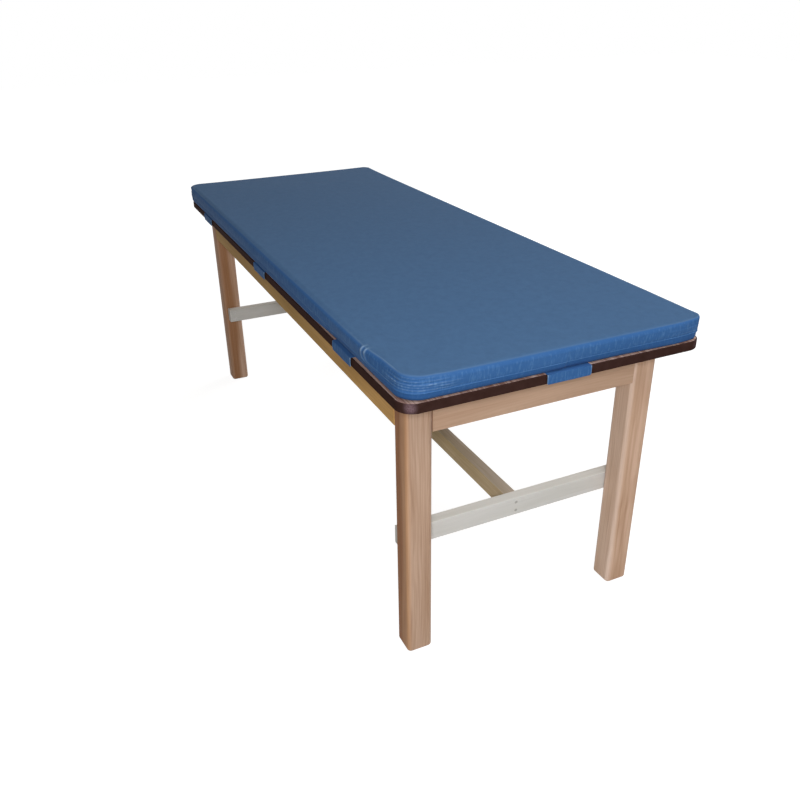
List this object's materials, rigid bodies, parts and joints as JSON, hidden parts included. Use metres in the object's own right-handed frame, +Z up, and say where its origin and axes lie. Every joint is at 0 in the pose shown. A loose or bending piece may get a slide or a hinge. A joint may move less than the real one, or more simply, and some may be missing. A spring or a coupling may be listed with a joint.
{
  "type": "treatment table",
  "caption": "Fixed-height wooden treatment table with an H-shaped brace, a laminate top with a moulded edge, and a loose padded vinyl mat held by straps.",
  "frame": {"origin": "on the floor under the middle of the table's top", "axes": "+X to the front end along the length, +Y to the left side, +Z up"},
  "size_m": [2.004, 0.7682, 0.7938],
  "materials": {
    "varnished_wood": "satin",
    "pale_wood": "matte",
    "core_board": "matte",
    "laminate": "satin",
    "backer": "matte",
    "moulding": "satin",
    "vinyl": "satin",
    "foam": "matte",
    "hook_tape": "matte",
    "loop_tape": "matte",
    "zinc_steel": "satin"
  },
  "bodies": {
    "table": {"leg_front_right": "varnished_wood", "leg_front_left": "varnished_wood", "leg_rear_right": "varnished_wood", "leg_rear_left": "varnished_wood", "apron_front": "varnished_wood", "apron_rear": "varnished_wood", "apron_right": "varnished_wood", "apron_left": "varnished_wood", "cross_rail": "varnished_wood", "apron_dowels": "pale_wood", "stretcher_front": "pale_wood", "stretcher_rear": "pale_wood", "stretcher_long": "varnished_wood", "stretcher_leg_screws": "zinc_steel", "brace_screws": "zinc_steel", "corner_block_front_right": "varnished_wood", "corner_block_front_left": "varnished_wood", "corner_block_rear_right": "varnished_wood", "corner_block_rear_left": "varnished_wood", "hanger_bolts": "zinc_steel", "hanger_washers": "zinc_steel", "hanger_nuts": "zinc_steel", "corner_block_screws": "zinc_steel", "top_core": "core_board", "top_laminate": "laminate", "top_backer": "backer", "edge_moulding": "moulding", "top_brackets": "zinc_steel", "top_bracket_screws": "zinc_steel", "hook_patches": "hook_tape"},
    "mat": {"mat_cover": "vinyl", "mat_base": "vinyl", "mat_foam": "foam", "strap_roots": "vinyl"},
    "strap_front_body": {"strap_front": "vinyl", "loop_patch_front": "loop_tape"},
    "strap_rear_body": {"strap_rear": "vinyl", "loop_patch_rear": "loop_tape"},
    "strap_right_front_body": {"strap_right_front": "vinyl", "loop_patch_right_front": "loop_tape"},
    "strap_right_middle_body": {"strap_right_middle": "vinyl", "loop_patch_right_middle": "loop_tape"},
    "strap_right_rear_body": {"strap_right_rear": "vinyl", "loop_patch_right_rear": "loop_tape"},
    "strap_left_front_body": {"strap_left_front": "vinyl", "loop_patch_left_front": "loop_tape"},
    "strap_left_middle_body": {"strap_left_middle": "vinyl", "loop_patch_left_middle": "loop_tape"},
    "strap_left_rear_body": {"strap_left_rear": "vinyl", "loop_patch_left_rear": "loop_tape"}
  },
  "joints": [
    {"name": "mat_lift_off", "type": "slide", "parent": "table", "child": "mat", "axis": [0, 0, 1], "range_m": [0, 0.25]},
    {"name": "strap_front_fold", "type": "hinge", "parent": "mat", "child": "strap_front_body", "pos_m": [0.993, 0.008, 0.7366], "axis": [0, -1, 0], "range_deg": [0, 150]},
    {"name": "strap_rear_fold", "type": "hinge", "parent": "mat", "child": "strap_rear_body", "pos_m": [-0.993, 0.008, 0.7366], "axis": [0, 1, 0], "range_deg": [0, 80]},
    {"name": "strap_right_front_fold", "type": "hinge", "parent": "mat", "child": "strap_right_front_body", "pos_m": [0.67, -0.3835, 0.7366], "axis": [-1, 0, 0], "range_deg": [0, 150]},
    {"name": "strap_right_middle_fold", "type": "hinge", "parent": "mat", "child": "strap_right_middle_body", "pos_m": [-0.008, -0.3835, 0.7366], "axis": [-1, 0, 0], "range_deg": [0, 150]},
    {"name": "strap_right_rear_fold", "type": "hinge", "parent": "mat", "child": "strap_right_rear_body", "pos_m": [-0.686, -0.3835, 0.7366], "axis": [-1, 0, 0], "range_deg": [0, 150]},
    {"name": "strap_left_front_fold", "type": "hinge", "parent": "mat", "child": "strap_left_front_body", "pos_m": [0.67, 0.3835, 0.7366], "axis": [1, 0, 0], "range_deg": [0, 150]},
    {"name": "strap_left_middle_fold", "type": "hinge", "parent": "mat", "child": "strap_left_middle_body", "pos_m": [-0.008, 0.3835, 0.7366], "axis": [1, 0, 0], "range_deg": [0, 150]},
    {"name": "strap_left_rear_fold", "type": "hinge", "parent": "mat", "child": "strap_left_rear_body", "pos_m": [-0.686, 0.3835, 0.7366], "axis": [1, 0, 0], "range_deg": [0, 150]}
  ]
}
